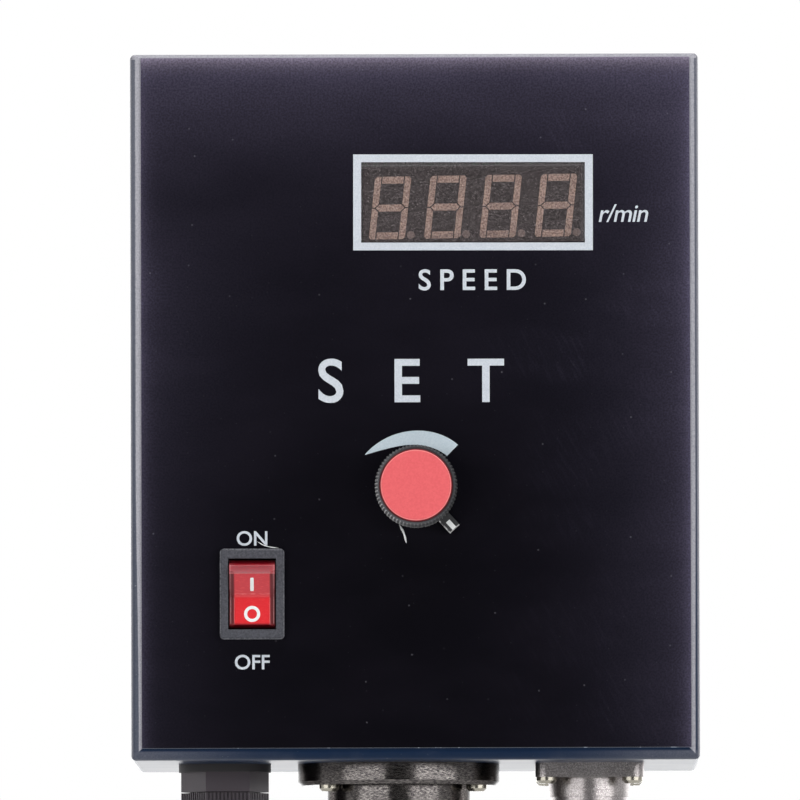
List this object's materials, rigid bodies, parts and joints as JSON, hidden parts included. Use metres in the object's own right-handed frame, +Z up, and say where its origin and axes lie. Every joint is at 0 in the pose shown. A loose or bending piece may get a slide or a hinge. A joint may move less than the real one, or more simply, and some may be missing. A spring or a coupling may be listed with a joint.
{
  "type": "stirrer speed controller",
  "caption": "Wall-hung black metal box that sets a laboratory stirrer's speed, with a digital readout, a turning knob, a rocker switch and sockets underneath.",
  "frame": {"origin": "middle of the rear bolt pattern, on the back face of the rear plate", "axes": "+X right seen from the front, +Y from the front into the case and out of its back, +Z up"},
  "size_m": [0.1306, 0.113, 0.1843],
  "materials": {
    "case_paint": "semi-gloss dark blue powder coat",
    "overlay_film": "matte printed film",
    "smoked_window": "smoked filter",
    "display_black": "matte",
    "segment_diffuser": "unlit diffuser",
    "circuit_board": "solder resist",
    "knob_black": "moulded",
    "knob_red": "moulded",
    "mark_white": "paint filled",
    "switch_black": "moulded",
    "rocker_red": "tinted polycarbonate",
    "gland_nylon": "moulded nylon",
    "seal_rubber": "moulded",
    "socket_metal": "dark plated alloy",
    "insulator": "moulded",
    "brass": "turned",
    "zinc_steel": "zinc plated",
    "sink_aluminium": "extruded",
    "phenolic": "pressed board",
    "laminations": "varnished",
    "winding": "varnished copper wire",
    "capacitor_sleeve": "shrink sleeve",
    "block_green": "moulded",
    "relay_blue": "moulded",
    "fuse_glass": "clear tube with plated caps"
  },
  "bodies": {
    "case": {"case_shell": "case_paint", "front_overlay": "overlay_film", "rear_plate": "case_paint", "rear_screws": "zinc_steel", "case_nuts": "zinc_steel", "mount_nuts": "zinc_steel", "display_window": "smoked_window", "display_module": "display_black", "display_segments": "segment_diffuser", "display_board": "circuit_board", "display_standoffs": "brass", "display_screws": "zinc_steel", "pot_bush": "brass", "pot_case": "zinc_steel", "pot_track": "phenolic", "pot_terminals": "zinc_steel", "pot_washer": "zinc_steel", "pot_nut": "zinc_steel", "switch_frame": "switch_black", "switch_terminals": "brass", "gland_gasket": "seal_rubber", "gland_body": "gland_nylon", "gland_seal": "seal_rubber", "gland_dome_nut": "gland_nylon", "gland_locknut": "gland_nylon", "motor_socket": "socket_metal", "motor_insert": "insulator", "motor_contacts": "brass", "motor_screws": "zinc_steel", "motor_nuts": "zinc_steel", "sensor_socket": "socket_metal", "sensor_insert": "insulator", "sensor_contacts": "brass", "sensor_screws": "zinc_steel", "sensor_nuts": "zinc_steel", "control_board": "circuit_board", "board_standoffs": "brass", "board_screws": "zinc_steel", "heat_sink": "sink_aluminium", "power_transistors": "display_black", "transformer_core": "laminations", "transformer_coil": "winding", "capacitors": "capacitor_sleeve", "terminal_block": "block_green", "relay": "relay_blue", "fuse": "fuse_glass", "fuse_clips": "brass", "control_chip": "display_black"},
    "knob": {"knob_body": "knob_black", "knob_cap": "knob_red", "knob_pointer": "knob_black", "pointer_mark": "mark_white", "knob_collet": "brass", "collet_nut": "brass", "pot_shaft": "zinc_steel", "pot_rotor": "phenolic"},
    "rocker": {"switch_rocker": "rocker_red", "switch_plunger": "insulator"},
    "contact": {"switch_contact": "brass"}
  },
  "joints": [
    {"name": "knob_turn", "type": "hinge", "parent": "case", "child": "knob", "pos_m": [0.0003, -0.1, -0.0186], "axis": [0, 1, 0], "range_deg": [-286, 14]},
    {"name": "rocker_tip", "type": "hinge", "parent": "case", "child": "rocker", "pos_m": [-0.0374, -0.0985, -0.043], "axis": [-1, 0, 0], "range_deg": [0, 25]},
    {"name": "contact_tilt", "type": "hinge", "parent": "case", "child": "contact", "pos_m": [-0.0374, -0.0916, -0.043], "axis": [-1, 0, 0], "range_deg": [-16, 0]}
  ],
  "couplings": [
    {"joint": "contact_tilt", "follows": "rocker_tip", "ratio": -0.64}
  ]
}
